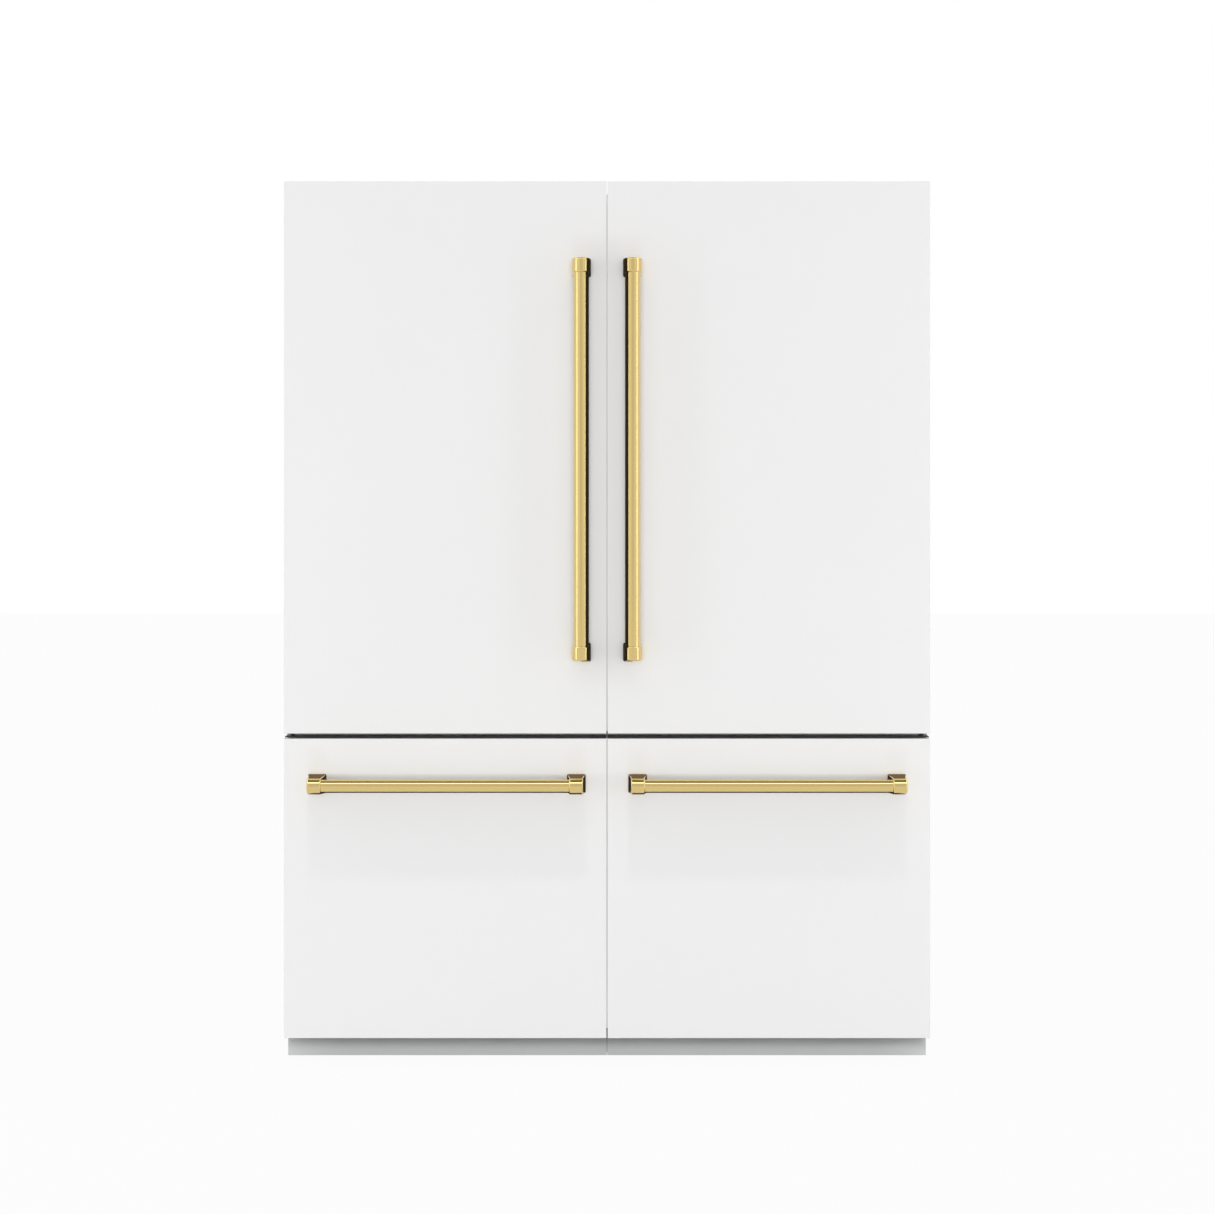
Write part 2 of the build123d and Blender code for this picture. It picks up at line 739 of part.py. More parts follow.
crisper_gap = 6.0
crisper_width = (cavity_width - 3 * crisper_gap) / 2
crisper_y = (-40.0, 262.0)
crisper_z = (fridge_z[0] + 2, crisper_cover_level - shelf_thick - 12)
crisper_wall = 3.0
crisper_corner = 10.0
fascia = 12.0


def crisper(low_x, name):
    """A clear pan with a thicker front, scooped along its top edge for the fingers."""
    x = (low_x, low_x + crisper_width)
    with BuildPart() as pan:
        rounded_block(x, crisper_y, crisper_z, crisper_corner)
        fillet(pan.faces().sort_by(Axis.Z)[0].edges(), 4)
        rounded_block(
            grown(x, -crisper_wall),
            (crisper_y[0] + fascia, crisper_y[1] - crisper_wall),
            (crisper_z[0] + crisper_wall, crisper_z[1]),
            crisper_corner - crisper_wall,
            Mode.SUBTRACT,
        )
        with BuildSketch(Plane.YZ.offset(x[0] + 70)):
            with Locations((crisper_y[0] + 1, crisper_z[1] - 26)):
                Ellipse(8, 11)
        extrude(amount=crisper_width - 140, mode=Mode.SUBTRACT)
    write_pair(pan.part, name)


crisper(cavity_x[0] + crisper_gap, "crisper_inner")
crisper(cavity_x[0] + 2 * crisper_gap + crisper_width, "crisper_outer")
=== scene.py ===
import json
import math

import bmesh
import bpy
from mathutils import Matrix, Vector


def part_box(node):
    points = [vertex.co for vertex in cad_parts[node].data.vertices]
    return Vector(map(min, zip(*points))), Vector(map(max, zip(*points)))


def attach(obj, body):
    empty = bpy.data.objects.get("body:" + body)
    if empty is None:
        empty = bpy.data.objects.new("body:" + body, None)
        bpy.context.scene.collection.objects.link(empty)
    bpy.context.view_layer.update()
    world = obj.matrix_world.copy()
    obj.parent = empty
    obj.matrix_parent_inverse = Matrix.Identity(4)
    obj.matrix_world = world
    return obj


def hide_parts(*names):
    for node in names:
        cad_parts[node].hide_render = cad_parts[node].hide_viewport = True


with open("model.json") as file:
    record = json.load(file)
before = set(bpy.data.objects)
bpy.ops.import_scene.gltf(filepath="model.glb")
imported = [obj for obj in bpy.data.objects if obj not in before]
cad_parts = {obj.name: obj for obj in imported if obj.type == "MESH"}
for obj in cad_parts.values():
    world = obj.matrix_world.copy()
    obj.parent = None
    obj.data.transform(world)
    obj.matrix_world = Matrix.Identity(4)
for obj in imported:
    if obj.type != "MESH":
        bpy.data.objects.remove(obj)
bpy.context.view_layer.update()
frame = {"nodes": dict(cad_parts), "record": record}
nodes = frame["nodes"]
sides = ("right", "left")
print("refrigerator frame loaded")

# camera: level, straight in front of the seam
cameraSetup = {
    "distance": 5.7,  # metres in front of the door fronts
    "height": 1.2526,
    "viewWidth": 2.845,  # what the picture spans at the door fronts
    "viewMiddle": 1.0686,  # level in the middle of the picture
    "sensor": 36.0,
}


def makeCamera():
    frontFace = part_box("door_panel_right")[0].y
    data = bpy.data.cameras.new("studioCamera")
    data.sensor_width = cameraSetup["sensor"]
    data.lens = cameraSetup["sensor"] * cameraSetup["distance"] / cameraSetup["viewWidth"]
    data.shift_y = (cameraSetup["viewMiddle"] - cameraSetup["height"]) / cameraSetup["viewWidth"]
    data.dof.use_dof = False
    camera = bpy.data.objects.new("studioCamera", data)
    camera.location = (0, frontFace - cameraSetup["distance"], cameraSetup["height"])
    camera.rotation_euler = (math.pi / 2, 0, 0)
    bpy.context.scene.collection.objects.link(camera)
    bpy.context.scene.camera = camera


makeCamera()
print("camera placed")

# modelling helpers


def clearSelection():
    bpy.ops.object.select_all(action="DESELECT")


def nameIt(name):
    piece = bpy.context.object
    piece.name = name
    piece.data.name = name
    return piece


def settle():
    # the place, turn and size go into the mesh, so that the object sits at the origin
    bpy.ops.object.transform_apply(location=True, rotation=True, scale=True)


def addBlock(name, low, high):
    clearSelection()
    low, high = Vector(low), Vector(high)
    bpy.ops.mesh.primitive_cube_add(size=1, location=(low + high) / 2, scale=high - low)
    settle()
    return nameIt(name)


def pick(piece, kind, test):
    # in edit mode: selects the faces, edges or vertices that pass the test
    bpy.ops.mesh.select_mode(type={"faces": "FACE", "edges": "EDGE", "verts": "VERT"}[kind])
    bpy.ops.mesh.select_all(action="DESELECT")
    mesh = bmesh.from_edit_mesh(piece.data)
    for part in getattr(mesh, kind):
        part.select_set(test(part))
    mesh.select_flush_mode()
    bmesh.update_edit_mesh(piece.data)


def facing(axis, sign):
    return lambda face: face.normal[axis] * sign > 0.9


def applyModifier(piece, kind, **settings):
    clearSelection()
    bpy.context.view_layer.objects.active = piece
    piece.select_set(True)
    modifier = piece.modifiers.new(kind.lower(), kind)
    for key, value in settings.items():
        setattr(modifier, key, value)
    bpy.ops.object.modifier_apply(modifier=modifier.name)


def smooth(piece, degrees=35):
    clearSelection()
    bpy.context.view_layer.objects.active = piece
    piece.select_set(True)
    bpy.ops.object.shade_smooth_by_angle(angle=math.radians(degrees))


def tidyNormals():
    bpy.ops.mesh.select_all(action="SELECT")
    bpy.ops.mesh.remove_doubles(threshold=0.00001)
    bpy.ops.mesh.normals_make_consistent(inside=False)


def copyTo(piece, name, move):
    # a copy with its own mesh, moved in the mesh
    twin = piece.copy()
    twin.data = piece.data.copy()
    twin.name = name
    twin.data.name = name
    twin.data.transform(Matrix.Translation(move))
    bpy.context.scene.collection.objects.link(twin)
    return twin


# shader helpers


def addNode(tree, kind, inputs=None, **settings):
    made = tree.nodes.new("ShaderNode" + kind)
    for key, value in settings.items():
        setattr(made, key, value)
    for key, value in (inputs or {}).items():
        if isinstance(value, bpy.types.NodeSocket):
            tree.links.new(value, made.inputs[key])
        else:
            made.inputs[key].default_value = value
    return made


def makeGroup(name, inputs, outputs):
    tree = bpy.data.node_groups.new(name, "ShaderNodeTree")
    for label, value in inputs.items():
        kind = "NodeSocketFloat"
        if isinstance(value, tuple):
            kind = "NodeSocketColor" if len(value) == 4 else "NodeSocketVector"
        socket = tree.interface.new_socket(name=label, in_out="INPUT", socket_type=kind)
        socket.default_value = value
    for label, kind in outputs.items():
        tree.interface.new_socket(name=label, in_out="OUTPUT", socket_type="NodeSocket" + kind)
    return tree, tree.nodes.new("NodeGroupInput").outputs, tree.nodes.new("NodeGroupOutput").inputs


def math2(tree, operation, first, second, clamp=False):
    made = addNode(tree, "Math", {0: first, 1: second}, operation=operation, use_clamp=clamp)
    return made.outputs[0]


def mixColour(tree, factor, first, second):
    made = addNode(tree, "Mix", {0: factor, 6: first, 7: second}, data_type="RGBA")
    return made.outputs[2]


def ramp(tree, value, low, high):
    # 0 below low, 1 above high
    made = addNode(tree, "MapRange", {"Value": value, "From Min": low, "From Max": high})
    return made.outputs[0]


grainShape = {"patchRange": (0.35, 0.68), "speckShare": 0.25}


def makeGrainGroup():
    # even grain of paint or moulded plastic, with broad soft patches
    tree, given, out = makeGroup(
        "evenGrain",
        {
            "Vector": (0.0, 0.0, 0.0),
            "Colour": (0.8, 0.8, 0.8, 1.0),
            "Patch Colour": (0.7, 0.7, 0.7, 1.0),
            "Patch Scale": 3.0,
            "Patch Amount": 0.5,
            "Grain Scale": 600.0,
            "Roughness": 0.5,
            "Roughness Spread": 0.1,
        },
        {"Colour": "Color", "Roughness": "Float", "Height": "Float"},
    )
    patch = addNode(
        tree,
        "TexNoise",
        {"Vector": given["Vector"], "Scale": given["Patch Scale"], "Detail": 3.0, "Roughness": 0.55},
    ).outputs[0]
    fine = addNode(
        tree,
        "TexNoise",
        {"Vector": given["Vector"], "Scale": given["Grain Scale"], "Detail": 4.0, "Roughness": 0.6},
    ).outputs[0]
    soft = ramp(tree, patch, *grainShape["patchRange"])
    amount = math2(tree, "MULTIPLY", soft, given["Patch Amount"])
    colour = mixColour(tree, amount, given["Colour"], given["Patch Colour"])
    speck = math2(tree, "MULTIPLY", math2(tree, "SUBTRACT", fine, 0.5), grainShape["speckShare"])
    shift = math2(tree, "ADD", math2(tree, "SUBTRACT", patch, 0.5), speck)
    spread = math2(tree, "MULTIPLY", shift, given["Roughness Spread"])
    tree.links.new(colour, out["Colour"])
    tree.links.new(math2(tree, "ADD", given["Roughness"], spread, True), out["Roughness"])
    tree.links.new(fine, out["Height"])
    return tree


brushShape = {"lineRange": (0.4, 0.75), "hazeScale": 9.0, "hazeShare": 0.12}


def makeBrushGroup():
    # drawn or brushed metal: fine lines along one direction and a broad haze in the roughness
    tree, given, out = makeGroup(
        "brushedGrain",
        {
            "Vector": (0.0, 0.0, 0.0),
            "Stretch": (1.0, 1.0, 1.0),
            "Colour": (0.8, 0.8, 0.8, 1.0),
            "Line Colour": (0.6, 0.6, 0.6, 1.0),
            "Line Amount": 0.3,
            "Roughness": 0.3,
            "Roughness Spread": 0.1,
        },
        {"Colour": "Color", "Roughness": "Float", "Height": "Float"},
    )
    along = addNode(tree, "VectorMath", {0: given["Vector"], 1: given["Stretch"]}, operation="MULTIPLY")
    lines = addNode(
        tree, "TexNoise", {"Vector": along.outputs[0], "Scale": 1.0, "Detail": 5.0, "Roughness": 0.65}
    ).outputs[0]
    broad = addNode(
        tree, "TexNoise", {"Vector": given["Vector"], "Scale": brushShape["hazeScale"], "Detail": 2.0}
    ).outputs[0]
    soft = ramp(tree, lines, *brushShape["lineRange"])
    amount = math2(tree, "MULTIPLY", soft, given["Line Amount"])
    spread = math2(tree, "MULTIPLY", math2(tree, "SUBTRACT", lines, 0.5), given["Roughness Spread"])
    haze = math2(tree, "MULTIPLY", math2(tree, "SUBTRACT", broad, 0.5), brushShape["hazeShare"])
    rough = math2(tree, "ADD", given["Roughness"], math2(tree, "ADD", spread, haze), True)
    tree.links.new(mixColour(tree, amount, given["Colour"], given["Line Colour"]), out["Colour"])
    tree.links.new(rough, out["Roughness"])
    tree.links.new(lines, out["Height"])
    return tree


wearAndHighlightShape = {"edgeRange": (0.01, 0.2), "breakupScale": 55.0, "breakupRange": (0.42, 0.62)}


def makeWearAndHighlightGroup():
    # edge colour, found by how far a rounded normal leaves the true one, broken up by noise: worn edges
    # on most finishes, a painted highlight along the edges of the fronts
    tree, given, out = makeGroup(
        "edgeWearAndHighlight",
        {
            "Vector": (0.0, 0.0, 0.0),
            "Colour": (0.8, 0.8, 0.8, 1.0),
            "Wear And Highlight Colour": (0.9, 0.9, 0.9, 1.0),
            "Width": 0.001,
            "Amount": 0.5,
        },
        {"Colour": "Color", "Mask": "Float"},
    )
    bevel = addNode(tree, "Bevel", {"Radius": given["Width"]}, samples=4)
    true = addNode(tree, "NewGeometry")
    match = addNode(
        tree, "VectorMath", {0: bevel.outputs[0], 1: true.outputs["Normal"]}, operation="DOT_PRODUCT"
    )
    turned = math2(tree, "SUBTRACT", 1.0, match.outputs["Value"])
    edge = ramp(tree, turned, *wearAndHighlightShape["edgeRange"])
    breakup = addNode(
        tree, "TexNoise", {"Vector": given["Vector"], "Scale": wearAndHighlightShape["breakupScale"], "Detail": 4.0}
    ).outputs[0]
    broken = math2(tree, "MULTIPLY", edge, ramp(tree, breakup, *wearAndHighlightShape["breakupRange"]))
    mask = math2(tree, "MULTIPLY", broken, given["Amount"], True)
    tree.links.new(mixColour(tree, mask, given["Colour"], given["Wear And Highlight Colour"]), out["Colour"])
    tree.links.new(mask, out["Mask"])
    return tree


dustShape = {"upRange": (0.3, 0.95), "cloudScale": 26.0, "cloudRange": (0.3, 0.7)}


def makeDustGroup():
    # thin dust on surfaces that face up
    tree, given, out = makeGroup(
        "settledDust",
        {
            "Vector": (0.0, 0.0, 0.0),
            "Colour": (0.8, 0.8, 0.8, 1.0),
            "Dust Colour": (0.5, 0.48, 0.44, 1.0),
            "Amount": 0.4,
        },
        {"Colour": "Color", "Mask": "Float"},
    )
    true = addNode(tree, "NewGeometry")
    up = addNode(tree, "SeparateXYZ", {0: true.outputs["Normal"]}).outputs[2]
    cloud = addNode(
        tree,
        "TexNoise",
        {"Vector": given["Vector"], "Scale": dustShape["cloudScale"], "Detail": 6.0, "Roughness": 0.7},
    ).outputs[0]
    flat = ramp(tree, up, *dustShape["upRange"])
    lying = math2(tree, "MULTIPLY", flat, ramp(tree, cloud, *dustShape["cloudRange"]))
    mask = math2(tree, "MULTIPLY", lying, given["Amount"], True)
    tree.links.new(mixColour(tree, mask, given["Colour"], given["Dust Colour"]), out["Colour"])
    tree.links.new(mask, out["Mask"])
    return tree


groups = {
    "grain": makeGrainGroup(),
    "brush": makeBrushGroup(),
    "wearAndHighlight": makeWearAndHighlightGroup(),
    "dust": makeDustGroup(),
}


def useGroup(tree, name, inputs):
    made = tree.nodes.new("ShaderNodeGroup")
    made.node_tree = groups[name]
    for key, value in inputs.items():
        if isinstance(value, bpy.types.NodeSocket):
            tree.links.new(value, made.inputs[key])
        else:
            made.inputs[key].default_value = value
    return made


def opaque(colour):
    return (*colour, 1.0)


def makeFinish(name, look):
    # one material: grain or brushing, then worn edges (on the fronts a painted edge highlight) and dust
    # where the look has them
    material = bpy.data.materials.new(name)
    material.use_nodes = True
    tree = material.node_tree
    shader = tree.nodes["Principled BSDF"]
    spot = addNode(tree, "TexCoord").outputs["Object"]
    if "brush" in look:
        surface = useGroup(tree, "brush", {
            "Vector": spot,
            "Stretch": look["brush"],
            "Colour": opaque(look["colour"]),
            "Line Colour": opaque(look["second"]),
            "Line Amount": look.get("amount", 0.5),
            "Roughness": look["rough"],
            "Roughness Spread": look.get("spread", 0.15),
        })
    else:
        surface = useGroup(tree, "grain", {
            "Vector": spot,
            "Colour": opaque(look["colour"]),
            "Patch Colour": opaque(look["second"]),
            "Patch Scale": look.get("patch", 3.0),
            "Patch Amount": look.get("amount", 0.5),
            "Grain Scale": look.get("grain", 600.0),
            "Roughness": look["rough"],
            "Roughness Spread": look.get("spread", 0.15),
        })
    colour = surface.outputs["Colour"]
    if "wearAndHighlightColour" in look:
        wearAndHighlight = useGroup(tree, "wearAndHighlight", {
            "Vector": spot,
            "Colour": colour,
            "Wear And Highlight Colour": opaque(look["wearAndHighlightColour"]),
            "Width": look.get("wearAndHighlightWidth", 0.0012),
            "Amount": look.get("wearAndHighlightAmount", 0.5),
        })
        colour = wearAndHighlight.outputs["Colour"]
    if "dust" in look:
        dust = useGroup(tree, "dust", {"Vector": spot, "Colour": colour, "Amount": look["dust"]})
        colour = dust.outputs["Colour"]
    tree.links.new(colour, shader.inputs["Base Color"])
    tree.links.new(surface.outputs["Roughness"], shader.inputs["Roughness"])
    bump = addNode(tree, "Bump", {
        "Height": surface.outputs["Height"],
        "Strength": look.get("bump", 0.1),
        "Distance": look.get("depth", 0.0002),
    })
    tree.links.new(bump.outputs[0], shader.inputs["Normal"])
    for socket, value in look.get("sockets", {}).items():
        shader.inputs[socket].default_value = value
    return material


# finishes, one dictionary each
# colour and second: the base and what the grain or patches mix in; rough, spread: roughness
# grain, patch: grains and patches per metre; brush: lines per metre along x, y, z

frontPaint = {  # matt lacquer on the slab fronts
    "colour": (0.82, 0.82, 0.822), "second": (0.808, 0.808, 0.809), "rough": 0.46, "spread": 0.1,
    "grain": 420.0, "patch": 1.7, "amount": 0.6, "bump": 0.12, "depth": 0.00012,
    # the lighter edge colour of the fronts is a painted highlight along their edges
    "wearAndHighlightColour": (0.9, 0.9, 0.9), "wearAndHighlightWidth": 0.0015, "wearAndHighlightAmount": 0.35,
}
handleGold = {  # polished brass, drawn lengthways
    "colour": (0.78, 0.60, 0.25), "second": (0.68, 0.49, 0.18), "rough": 0.12, "spread": 0.08,
    "brush": (900.0, 900.0, 900.0), "amount": 0.35, "bump": 0.04, "depth": 0.0001,
    "wearAndHighlightColour": (0.90, 0.75, 0.43), "wearAndHighlightWidth": 0.0012, "wearAndHighlightAmount": 0.6,
    "sockets": {"Metallic": 1.0, "Coat Weight": 0.25, "Coat Roughness": 0.08},
}
caseSteel = {  # precoated sheet of the outer case
    "colour": (0.60, 0.61, 0.62), "second": (0.55, 0.56, 0.575), "rough": 0.42, "spread": 0.18,
    "grain": 700.0, "patch": 2.2, "amount": 0.6, "bump": 0.15, "depth": 0.00015,
    "wearAndHighlightColour": (0.75, 0.76, 0.77), "dust": 0.35, "sockets": {"Metallic": 0.55},
}
foamYellow = {
    "colour": (0.86, 0.78, 0.56), "second": (0.78, 0.68, 0.44), "rough": 0.9,
    "grain": 380.0, "patch": 9.0, "amount": 0.7, "bump": 0.5, "depth": 0.0008,
}
coreGrey = {  # embossed door and drawer casing behind the fronts
    "colour": (0.70, 0.71, 0.72), "second": (0.66, 0.67, 0.685), "rough": 0.45, "spread": 0.15,
    "grain": 900.0, "patch": 2.5, "amount": 0.5, "bump": 0.2, "depth": 0.00015,
    "wearAndHighlightColour": (0.82, 0.83, 0.84), "wearAndHighlightAmount": 0.3,
}
linerWhite = {  # vacuum-formed inner liner
    "colour": (0.90, 0.91, 0.915), "second": (0.87, 0.885, 0.90), "rough": 0.28, "spread": 0.15,
    "grain": 160.0, "patch": 2.0, "amount": 0.5, "bump": 0.08, "depth": 0.0004,
    "sockets": {"Coat Weight": 0.25, "Coat Roughness": 0.2},
}
frameSteel = {
    "colour": (0.42, 0.43, 0.44), "second": (0.33, 0.34, 0.36), "rough": 0.38, "spread": 0.25,
    "grain": 90.0, "patch": 30.0, "amount": 0.8, "bump": 0.15, "depth": 0.0002,
    "wearAndHighlightColour": (0.6, 0.6, 0.6), "dust": 0.4, "sockets": {"Metallic": 0.85},
}
footBlack = {
    "colour": (0.035, 0.035, 0.036), "second": (0.06, 0.06, 0.06), "rough": 0.6, "spread": 0.2,
    "grain": 900.0, "patch": 40.0, "bump": 0.25, "depth": 0.0002,
    "wearAndHighlightColour": (0.16, 0.16, 0.16), "dust": 0.4,
}
toeKickGrey = {
    "colour": (0.66, 0.665, 0.67), "second": (0.61, 0.615, 0.62), "rough": 0.4, "spread": 0.15,
    "brush": (6.0, 900.0, 900.0), "amount": 0.35, "bump": 0.08, "depth": 0.0001,
    "wearAndHighlightColour": (0.75, 0.75, 0.75), "wearAndHighlightAmount": 0.4, "sockets": {"Metallic": 0.15},
}
railGrey = {
    "colour": (0.44, 0.443, 0.447), "second": (0.38, 0.382, 0.386), "rough": 0.45, "spread": 0.15,
    "grain": 800.0, "patch": 6.0, "bump": 0.15, "depth": 0.00012, "wearAndHighlightColour": (0.5, 0.5, 0.5),
}
hingeBlack = {
    "colour": (0.022, 0.022, 0.024), "second": (0.035, 0.035, 0.037), "rough": 0.38, "spread": 0.2,
    "grain": 1100.0, "patch": 14.0, "bump": 0.2, "depth": 0.00012,
    "wearAndHighlightColour": (0.3, 0.3, 0.31), "wearAndHighlightWidth": 0.001, "wearAndHighlightAmount": 0.4, "sockets": {"Metallic": 0.3},
}
shelfTrim = {
    "colour": (0.86, 0.87, 0.88), "second": (0.83, 0.845, 0.86), "rough": 0.35, "spread": 0.12,
    "grain": 1200.0, "patch": 5.0, "bump": 0.15, "depth": 0.0001, "wearAndHighlightColour": (0.94, 0.94, 0.94),
    "wearAndHighlightAmount": 0.3,
}
ductWhite = {
    "colour": (0.87, 0.88, 0.885), "second": (0.84, 0.85, 0.865), "rough": 0.4, "spread": 0.12,
    "grain": 1400.0, "patch": 4.0, "bump": 0.2, "depth": 0.0001,
}
ledLens = {
    "colour": (0.96, 0.96, 0.93), "second": (0.93, 0.93, 0.90), "rough": 0.4, "spread": 0.1,
    "grain": 900.0, "patch": 60.0, "bump": 0.2, "depth": 0.0001,
    "sockets": {"Emission Color": (1.0, 0.965, 0.90, 1.0), "Emission Strength": 2.2},
}
finAluminium = {
    "colour": (0.80, 0.81, 0.82), "second": (0.66, 0.67, 0.69), "rough": 0.34, "spread": 0.25,
    "grain": 500.0, "patch": 35.0, "amount": 0.7, "bump": 0.2, "depth": 0.0002,
    "sockets": {"Metallic": 1.0},
}
condenserBlack = {
    "colour": (0.035, 0.036, 0.038), "second": (0.06, 0.06, 0.062), "rough": 0.42, "spread": 0.2,
    "grain": 600.0, "patch": 25.0, "bump": 0.2, "depth": 0.0002, "dust": 0.6,
}
compressorBlack = {
    "colour": (0.018, 0.018, 0.019), "second": (0.03, 0.03, 0.03), "rough": 0.3, "spread": 0.2,
    "grain": 350.0, "patch": 12.0, "bump": 0.2, "depth": 0.0003, "dust": 0.55,
    "wearAndHighlightColour": (0.25, 0.25, 0.25), "sockets": {"Coat Weight": 0.3, "Coat Roughness": 0.15},
}
motorGrey = {
    "colour": (0.34, 0.35, 0.36), "second": (0.26, 0.27, 0.28), "rough": 0.35, "spread": 0.2,
    "grain": 700.0, "patch": 40.0, "bump": 0.15, "depth": 0.0001, "wearAndHighlightColour": (0.6, 0.6, 0.6),
    "sockets": {"Metallic": 0.8},
}
coverGalvanised = {  # spangled zinc of the machine compartment's cover
    "colour": (0.60, 0.61, 0.62), "second": (0.44, 0.455, 0.47), "rough": 0.4, "spread": 0.35,
    "grain": 120.0, "patch": 75.0, "amount": 0.85, "bump": 0.12, "depth": 0.00015,
    "wearAndHighlightColour": (0.75, 0.75, 0.75), "dust": 0.35, "sockets": {"Metallic": 0.85},
}
glandRubber = {
    "colour": (0.03, 0.03, 0.03), "second": (0.045, 0.045, 0.044), "rough": 0.65, "spread": 0.15,
    "grain": 1500.0, "patch": 80.0, "bump": 0.25, "depth": 0.0001,
}
slideSteel = {
    "colour": (0.68, 0.69, 0.70), "second": (0.55, 0.56, 0.58), "rough": 0.3, "spread": 0.2,
    "brush": (900.0, 14.0, 900.0), "amount": 0.5, "bump": 0.12, "depth": 0.0001,
    "wearAndHighlightColour": (0.85, 0.85, 0.85), "sockets": {"Metallic": 1.0},
}
gasketGrey = {
    "colour": (0.50, 0.51, 0.52), "second": (0.45, 0.46, 0.475), "rough": 0.55, "spread": 0.15,
    "grain": 1300.0, "patch": 18.0, "bump": 0.25, "depth": 0.00012,
}
basketPlastic = {
    "colour": (0.83, 0.86, 0.885), "second": (0.80, 0.835, 0.865), "rough": 0.33, "spread": 0.15,
    "grain": 900.0, "patch": 6.0, "bump": 0.15, "depth": 0.0001, "wearAndHighlightColour": (0.93, 0.94, 0.95),
    "wearAndHighlightAmount": 0.35, "sockets": {"Coat Weight": 0.15, "Coat Roughness": 0.25},
}
fanBlack = {
    "colour": (0.04, 0.04, 0.042), "second": (0.06, 0.06, 0.062), "rough": 0.5, "spread": 0.15,
    "grain": 1200.0, "patch": 30.0, "bump": 0.2, "depth": 0.0001, "dust": 0.5,
}
fanWhite = {
    "colour": (0.80, 0.81, 0.82), "second": (0.76, 0.77, 0.79), "rough": 0.45, "spread": 0.12,
    "grain": 1200.0, "patch": 30.0, "bump": 0.2, "depth": 0.0001,
}
paneGlass = {  # toughened shelf glass, faintly green
    "colour": (0.90, 0.965, 0.945), "second": (0.87, 0.95, 0.925), "rough": 0.03, "spread": 0.04,
    "grain": 30.0, "patch": 3.0, "bump": 0.02, "depth": 0.0001,
    "sockets": {"Transmission Weight": 1.0, "IOR": 1.5},
}
clearPlastic = {  # bins and crispers
    "colour": (0.93, 0.965, 0.98), "second": (0.90, 0.945, 0.965), "rough": 0.07, "spread": 0.08,
    "grain": 70.0, "patch": 4.0, "bump": 0.05, "depth": 0.0003,
    "sockets": {"Transmission Weight": 0.92, "IOR": 1.46},
}

looks = {
    "front_white": frontPaint, "handle_gold": handleGold, "case_steel": caseSteel,
    "foam": foamYellow, "core_grey": coreGrey, "liner_white": linerWhite,
    "frame_steel": frameSteel, "feet_black": footBlack, "toe_kick_grey": toeKickGrey,
    "rail_grey": railGrey, "hinge_black": hingeBlack, "shelf_glass": paneGlass,
    "shelf_trim": shelfTrim, "duct_white": ductWhite, "led_lens": ledLens,
    "fin_aluminium": finAluminium, "condenser_black": condenserBlack,
    "compressor_black": compressorBlack, "motor_grey": motorGrey,
    "cover_galvanised": coverGalvanised, "gland_rubber": glandRubber,
    "slide_steel": slideSteel, "gasket_grey": gasketGrey, "clear_plastic": clearPlastic,
    "basket_plastic": basketPlastic, "fan_black": fanBlack, "fan_white": fanWhite,
}
finishes = {name: makeFinish(name + "_finish", look) for name, look in looks.items()}

for subpart in frame["record"]["subparts"]:
    for place in nodes[subpart["node"]].material_slots:
        place.material = finishes[subpart["material_slot"]]
print("finishes on", len(nodes), "frame pieces")


def dress(piece, finishName, body):
    # finish, slot and body of a new piece
    piece.data.materials.clear()
    piece.data.materials.append(finishes[finishName])
    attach(piece, body)


# magnetic gaskets: flange, two folds and the magnet's tube
gasketShape = {
    "width": 0.018,
    "levels": (0.0022, 0.0036, 0.0052, 0.0066, 0.0078, 0.0117),  # from the door outwards
    "waists": (0.0036, 0.0066),
    "waistDepth": 0.0046,
    "rounding": 0.0007,
}


def makeGasket(name, node, body):
    low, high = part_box(node)
    size = high - low
    clearSelection()
    bpy.ops.mesh.primitive_plane_add(
        size=1,
        location=((low.x + high.x) / 2, low.y, (low.z + high.z) / 2),
        rotation=(-math.pi / 2, 0, 0),
    )
    piece = nameIt(name)
    piece.scale = (size.x, size.z, 1)
    settle()
    bpy.ops.object.mode_set(mode="EDIT")
    bpy.ops.mesh.select_all(action="SELECT")
    bpy.ops.mesh.inset(thickness=gasketShape["width"])
    bpy.ops.mesh.delete(type="FACE")
    bpy.ops.mesh.select_mode(type="FACE")
    bpy.ops.mesh.select_all(action="SELECT")
    reached = 0.0
    for level in gasketShape["levels"]:
        bpy.ops.mesh.extrude_region_move(TRANSFORM_OT_translate={"value": (0, level - reached, 0)})
        reached = level
    tidyNormals()
    waists = [low.y + level for level in gasketShape["waists"]]
    pick(piece, "verts", lambda v: min(abs(v.co.y - w) for w in waists) < 0.0001)
    bpy.ops.transform.shrink_fatten(value=-gasketShape["waistDepth"], use_even_offset=True)
    bpy.ops.object.mode_set(mode="OBJECT")
    applyModifier(piece, "BEVEL", width=gasketShape["rounding"], segments=2, limit_method="ANGLE")
    smooth(piece, 40)
    dress(piece, "gasket_grey", body)
    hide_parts(node)
    return piece


for side in sides:
    makeGasket("doorSeal_" + side, "door_gasket_" + side, side + "_door")
    makeGasket("drawerSeal_" + side, "drawer_gasket_" + side, side + "_drawer")
print("gaskets made")

# brushed trims along the fronts of the shelves and the bins
trim = {
    "height": 0.013,
    "thickness": 0.0026,
    "lip": 0.0036,  # how far the trim reaches back over the rim
    "lipThickness": 0.0016,
    "endGap": 0.002,
    "rounding": 0.0005,
}
trimSteel = {
    "colour": (0.74, 0.75, 0.76), "second": (0.60, 0.61, 0.63), "rough": 0.26, "spread": 0.2,
    "brush": (8.0, 1100.0, 1100.0), "amount": 0.5, "bump": 0.1, "depth": 0.0001,
    "wearAndHighlightColour": (0.88, 0.88, 0.88), "sockets": {"Metallic": 1.0},
}
finishes["trim_steel"] = makeFinish("trim_steel_finish", trimSteel)


